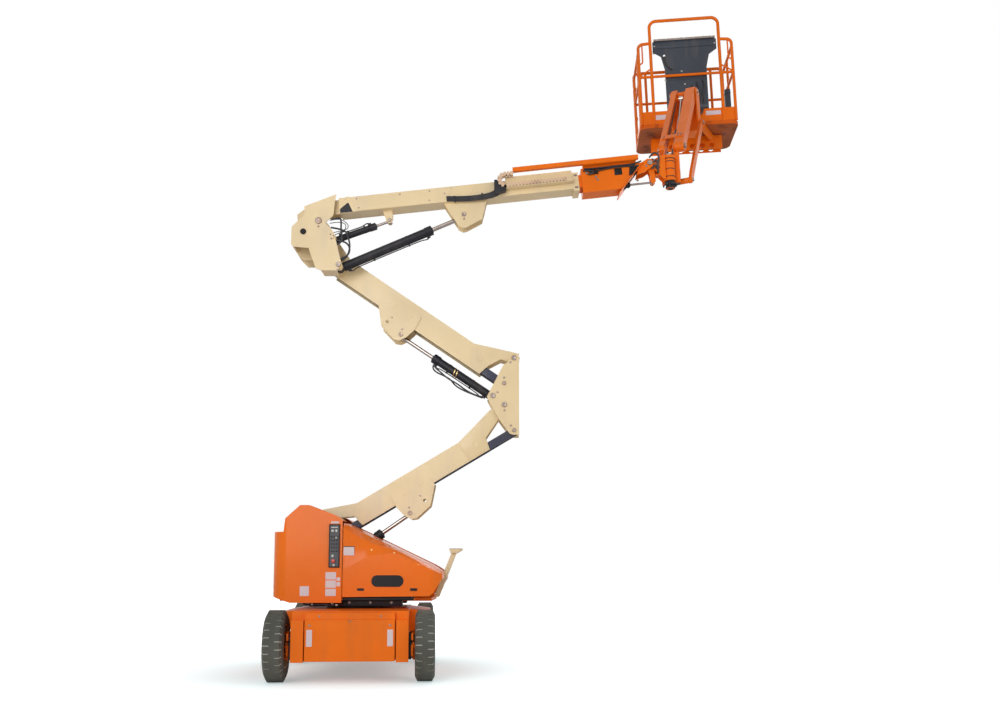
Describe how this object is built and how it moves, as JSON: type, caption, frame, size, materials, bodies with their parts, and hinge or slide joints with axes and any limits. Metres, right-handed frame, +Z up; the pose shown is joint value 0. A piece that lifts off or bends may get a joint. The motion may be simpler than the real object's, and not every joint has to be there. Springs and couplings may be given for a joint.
{
  "type": "articulating boom lift",
  "caption": "Narrow electric articulating boom lift: wheeled chassis, swinging turntable, folding risers, telescoping boom, side-swinging jib and railed platform.",
  "frame": {"origin": "floor level under the middle of the whole machine's bounding box in its stored pose", "axes": "+Z up, +X the way the raised boom reaches, wheels roll 4.3 degrees off Y with the steered axle at +Y"},
  "size_m": [5.1643, 3.5617, 7.6912],
  "materials": {
    "cream_paint": "semi-gloss paint",
    "orange_cover": "painted moulding",
    "orange_paint": "semi-gloss paint",
    "navy_paint": "semi-gloss paint",
    "black_paint": "satin paint",
    "polished_rod": "polished",
    "tyre": "solid rubber",
    "dark_plastic": "moulded",
    "platform_tube": "painted",
    "platform_plate": "painted tread plate",
    "cast_ballast": "rough",
    "battery_case": "boxed",
    "machined_steel": "machined"
  },
  "bodies": {
    "chassis": {"chassis_frame": "orange_paint", "chassis_end_panel": "orange_paint", "drive_hubs": "black_paint", "slew_ring": "black_paint"},
    "drive_wheel_left": {"drive_tyre_left": "tyre", "drive_rim_left": "cream_paint"},
    "drive_wheel_right": {"drive_tyre_right": "tyre", "drive_rim_right": "cream_paint"},
    "steer_wheel_left": {"steer_tyre_left": "tyre", "steer_rim_left": "cream_paint"},
    "steer_wheel_right": {"steer_tyre_right": "tyre", "steer_rim_right": "cream_paint"},
    "steer_knuckle_left": {"steer_knuckle_left": "black_paint"},
    "steer_knuckle_right": {"steer_knuckle_right": "black_paint"},
    "tie_rod": {"tie_rod": "machined_steel"},
    "turntable": {"turntable_frame": "orange_paint", "boom_rest": "cream_paint", "tail_cover": "orange_cover", "ground_controls": "dark_plastic", "counterweight": "cast_ballast", "battery_blocks": "battery_case"},
    "hood_near": {"hood_near": "orange_cover"},
    "hood_far": {"hood_far": "orange_cover"},
    "lower_riser": {"lower_riser": "cream_paint"},
    "lower_link": {"lower_link": "navy_paint"},
    "mid_upright": {"mid_upright": "cream_paint"},
    "lower_lift_barrel": {"lower_lift_barrel": "black_paint"},
    "lower_lift_rod": {"lower_lift_rod": "polished_rod"},
    "upper_riser": {"upper_riser": "cream_paint"},
    "upper_link": {"upper_link": "navy_paint"},
    "top_upright": {"top_upright": "cream_paint"},
    "upper_lift_barrel": {"upper_lift_barrel": "black_paint"},
    "upper_lift_rod": {"upper_lift_rod": "polished_rod"},
    "main_boom": {"main_boom": "cream_paint", "cable_tray": "cream_paint", "cable_carrier": "dark_plastic"},
    "main_lift_barrel": {"main_lift_barrel": "black_paint"},
    "main_lift_rod": {"main_lift_rod": "polished_rod"},
    "master_barrel": {"master_barrel": "black_paint"},
    "master_rod": {"master_rod": "polished_rod"},
    "fly_boom": {"fly_boom": "orange_paint"},
    "jib_mount": {"jib_mount": "orange_paint"},
    "slave_barrel": {"slave_barrel": "black_paint"},
    "slave_rod": {"slave_rod": "polished_rod"},
    "jib_swivel": {"jib_swivel": "orange_paint"},
    "jib_frame": {"jib_frame": "orange_paint"},
    "jib_link": {"jib_link": "orange_paint"},
    "jib_head": {"jib_head": "orange_paint"},
    "jib_cylinder_barrel": {"jib_cylinder_barrel": "black_paint"},
    "jib_cylinder_rod": {"jib_cylinder_rod": "polished_rod"},
    "platform": {"platform_mount": "orange_paint", "platform_floor": "platform_plate", "platform_rails": "platform_tube", "platform_console": "dark_plastic"},
    "platform_gate": {"platform_gate": "platform_tube"}
  },
  "joints": [
    {"name": "drive_wheel_left_spin", "type": "hinge", "parent": "chassis", "child": "drive_wheel_left", "pos_m": [-2.32298, -1.45923, 0.3175], "axis": [0.9972, 0.075, 0], "continuous": true},
    {"name": "drive_wheel_right_spin", "type": "hinge", "parent": "chassis", "child": "drive_wheel_right", "pos_m": [-1.0047, -1.3601, 0.3175], "axis": [0.9972, 0.075, 0], "continuous": true},
    {"name": "steer_left", "type": "hinge", "parent": "chassis", "child": "steer_knuckle_left", "pos_m": [-2.31239, 0.54722, 0.3175], "axis": [0, 0, 1], "range_deg": [-35, 35]},
    {"name": "steer_right", "type": "hinge", "parent": "chassis", "child": "steer_knuckle_right", "pos_m": [-1.31521, 0.62219, 0.3175], "axis": [0, 0, 1], "range_deg": [-35.07, 35.07]},
    {"name": "tie_rod_slide", "type": "slide", "parent": "chassis", "child": "tie_rod", "axis": [0.9972, 0.075, 0], "range_m": [-0.1225, 0.1225]},
    {"name": "steer_wheel_left_spin", "type": "hinge", "parent": "steer_knuckle_left", "child": "steer_wheel_left", "pos_m": [-2.47294, 0.53514, 0.3175], "axis": [0.9972, 0.075, 0], "continuous": true},
    {"name": "steer_wheel_right_spin", "type": "hinge", "parent": "steer_knuckle_right", "child": "steer_wheel_right", "pos_m": [-1.15466, 0.63426, 0.3175], "axis": [0.9972, 0.075, 0], "continuous": true},
    {"name": "swing", "type": "hinge", "parent": "chassis", "child": "turntable", "pos_m": [-1.73882, -0.41248, 0.69], "axis": [0, 0, 1], "range_deg": [-270, 90]},
    {"name": "hood_near_lift", "type": "hinge", "parent": "turntable", "child": "hood_near", "pos_m": [-1.80882, -0.58748, 1.442], "axis": [-0.9012, 0, 0.4335], "range_deg": [0, 60]},
    {"name": "hood_far_lift", "type": "hinge", "parent": "turntable", "child": "hood_far", "pos_m": [-1.80882, -0.23748, 1.442], "axis": [0.9012, 0, -0.4335], "range_deg": [0, 60]},
    {"name": "lower_lift", "type": "hinge", "parent": "turntable", "child": "lower_riser", "pos_m": [-2.16982, -0.41248, 1.515], "axis": [0, -1, 0], "range_deg": [-31, 39]},
    {"name": "lower_link_pivot", "type": "hinge", "parent": "turntable", "child": "lower_link", "pos_m": [-2.07182, -0.41248, 1.255], "axis": [0, -1, 0], "range_deg": [-31.06, 39.08]},
    {"name": "mid_upright_level", "type": "hinge", "parent": "lower_riser", "child": "mid_upright", "pos_m": [-0.28405, -0.41248, 2.64808], "axis": [0, -1, 0], "range_deg": [-39.08, 31.06]},
    {"name": "lower_cylinder_pivot", "type": "hinge", "parent": "turntable", "child": "lower_lift_barrel", "pos_m": [-2.10032, -0.41248, 0.9526], "axis": [0, -1, 0], "range_deg": [-23.3, 29.31]},
    {"name": "lower_cylinder_stroke", "type": "slide", "parent": "lower_lift_barrel", "child": "lower_lift_rod", "axis": [0.8224, 0, 0.5688], "range_m": [-0.2576, 0.3241]},
    {"name": "upper_lift", "type": "hinge", "parent": "mid_upright", "child": "upper_riser", "pos_m": [-0.18805, -0.41248, 3.12808], "axis": [0, 1, 0], "range_deg": [-34.5, 35.5]},
    {"name": "upper_link_pivot", "type": "hinge", "parent": "mid_upright", "child": "upper_link", "pos_m": [-0.28605, -0.41248, 2.86808], "axis": [0, 1, 0], "range_deg": [-34.57, 35.57]},
    {"name": "tower_head_level", "type": "hinge", "parent": "upper_riser", "child": "top_upright", "pos_m": [-2.1536, -0.41248, 4.47896], "axis": [0, 1, 0], "range_deg": [-35.57, 34.57]},
    {"name": "upper_cylinder_pivot", "type": "hinge", "parent": "mid_upright", "child": "upper_lift_barrel", "pos_m": [-0.40005, -0.41248, 2.74008], "axis": [0, 1, 0], "range_deg": [-33.19, 34.15]},
    {"name": "upper_cylinder_stroke", "type": "slide", "parent": "upper_lift_barrel", "child": "upper_lift_rod", "axis": [-0.8292, 0, 0.559], "range_m": [-0.2505, 0.2577]},
    {"name": "main_lift", "type": "hinge", "parent": "top_upright", "child": "main_boom", "pos_m": [-2.30459, -0.65748, 4.36596], "axis": [0, -1, 0], "range_deg": [-6.2, 66.8]},
    {"name": "main_cylinder_pivot", "type": "hinge", "parent": "top_upright", "child": "main_lift_barrel", "pos_m": [-1.9466, -0.65748, 4.02496], "axis": [0, -1, 0], "range_deg": [-5.96, 64.26]},
    {"name": "main_cylinder_stroke", "type": "slide", "parent": "main_lift_barrel", "child": "main_lift_rod", "axis": [0.9177, 0, 0.3972], "range_m": [-0.0511, 0.5492]},
    {"name": "master_cylinder_pivot", "type": "hinge", "parent": "top_upright", "child": "master_barrel", "pos_m": [-2.01559, -0.65748, 4.31396], "axis": [0, -1, 0], "range_deg": [-7.05, 75.97]},
    {"name": "master_cylinder_stroke", "type": "slide", "parent": "master_barrel", "child": "master_rod", "axis": [0.94, 0, 0.3411], "range_m": [-0.0287, 0.3085]},
    {"name": "telescope", "type": "slide", "parent": "main_boom", "child": "fly_boom", "axis": [0.9942, 0, 0.108], "range_m": [0, 1.2]},
    {"name": "jib_mount_level", "type": "hinge", "parent": "fly_boom", "child": "jib_mount", "pos_m": [1.19559, -0.65748, 5.10933], "axis": [0, -1, 0], "range_deg": [-66.93, 6.21]},
    {"name": "slave_cylinder_pivot", "type": "hinge", "parent": "fly_boom", "child": "slave_barrel", "pos_m": [0.66879, -0.65748, 4.86601], "axis": [0, -1, 0], "range_deg": [-0.96, 10.37]},
    {"name": "slave_cylinder_stroke", "type": "slide", "parent": "slave_barrel", "child": "slave_rod", "axis": [0.9935, 0, 0.1139], "range_m": [-0.1771, 0.0165]},
    {"name": "jib_swing", "type": "hinge", "parent": "jib_mount", "child": "jib_swivel", "pos_m": [1.40544, -0.65748, 5.11739], "axis": [-0.0384, 0, 0.9993], "range_deg": [-157.6, 22.4]},
    {"name": "jib_lift", "type": "hinge", "parent": "jib_swivel", "child": "jib_frame", "pos_m": [1.47303, -0.46934, 5.37818], "axis": [0.9239, -0.3811, 0.0355], "range_deg": [-108.7, 35.3]},
    {"name": "jib_link_pivot", "type": "hinge", "parent": "jib_swivel", "child": "jib_link", "pos_m": [1.48754, -0.46934, 5.00046], "axis": [0.9239, -0.3811, 0.0355], "range_deg": [-108.92, 35.37]},
    {"name": "jib_head_level", "type": "hinge", "parent": "jib_frame", "child": "jib_head", "pos_m": [1.76248, 0.32454, 6.36741], "axis": [0.9239, -0.3811, 0.0355], "range_deg": [-35.37, 108.92]},
    {"name": "jib_cylinder_pivot", "type": "hinge", "parent": "jib_swivel", "child": "jib_cylinder_barrel", "pos_m": [1.46906, -0.46171, 4.99975], "axis": [0.9239, -0.3811, 0.0355], "range_deg": [-97.31, 31.6]},
    {"name": "jib_cylinder_stroke", "type": "slide", "parent": "jib_cylinder_barrel", "child": "jib_cylinder_rod", "axis": [0.1674, 0.4857, 0.8579], "range_m": [-0.5354, 0.1739]},
    {"name": "platform_rotate", "type": "hinge", "parent": "jib_head", "child": "platform", "pos_m": [1.86453, 0.57232, 6.37133], "axis": [-0.0384, 0, 0.9993], "range_deg": [-108.9, 71.1]},
    {"name": "gate_swing", "type": "hinge", "parent": "platform", "child": "platform_gate", "pos_m": [1.41307, 1.71894, 6.82233], "axis": [-0.0384, 0, 0.9993], "range_deg": [0, 90]}
  ],
  "couplings": [
    {"joint": "steer_right", "follows": "steer_left", "ratio": 1},
    {"joint": "tie_rod_slide", "follows": "steer_left", "m_per_rad": -0.2},
    {"joint": "lower_link_pivot", "follows": "lower_lift", "ratio": 1},
    {"joint": "mid_upright_level", "follows": "lower_lift", "ratio": -1},
    {"joint": "lower_cylinder_pivot", "follows": "lower_lift", "ratio": 0.75},
    {"joint": "lower_cylinder_stroke", "follows": "lower_lift", "m_per_rad": 0.475},
    {"joint": "upper_link_pivot", "follows": "upper_lift", "ratio": 1},
    {"joint": "tower_head_level", "follows": "upper_lift", "ratio": -1},
    {"joint": "upper_cylinder_pivot", "follows": "upper_lift", "ratio": 0.96},
    {"joint": "upper_cylinder_stroke", "follows": "upper_lift", "m_per_rad": 0.415},
    {"joint": "main_cylinder_pivot", "follows": "main_lift", "ratio": 0.96},
    {"joint": "main_cylinder_stroke", "follows": "main_lift", "m_per_rad": 0.47},
    {"joint": "master_cylinder_pivot", "follows": "main_lift", "ratio": 1.135},
    {"joint": "master_cylinder_stroke", "follows": "main_lift", "m_per_rad": 0.264},
    {"joint": "jib_mount_level", "follows": "main_lift", "ratio": -1},
    {"joint": "slave_cylinder_pivot", "follows": "main_lift", "ratio": 0.155},
    {"joint": "slave_cylinder_stroke", "follows": "main_lift", "m_per_rad": -0.1515},
    {"joint": "jib_link_pivot", "follows": "jib_lift", "ratio": 1},
    {"joint": "jib_head_level", "follows": "jib_lift", "ratio": -1},
    {"joint": "jib_cylinder_pivot", "follows": "jib_lift", "ratio": 0.8934},
    {"joint": "jib_cylinder_stroke", "follows": "jib_lift", "m_per_rad": 0.28157}
  ]
}
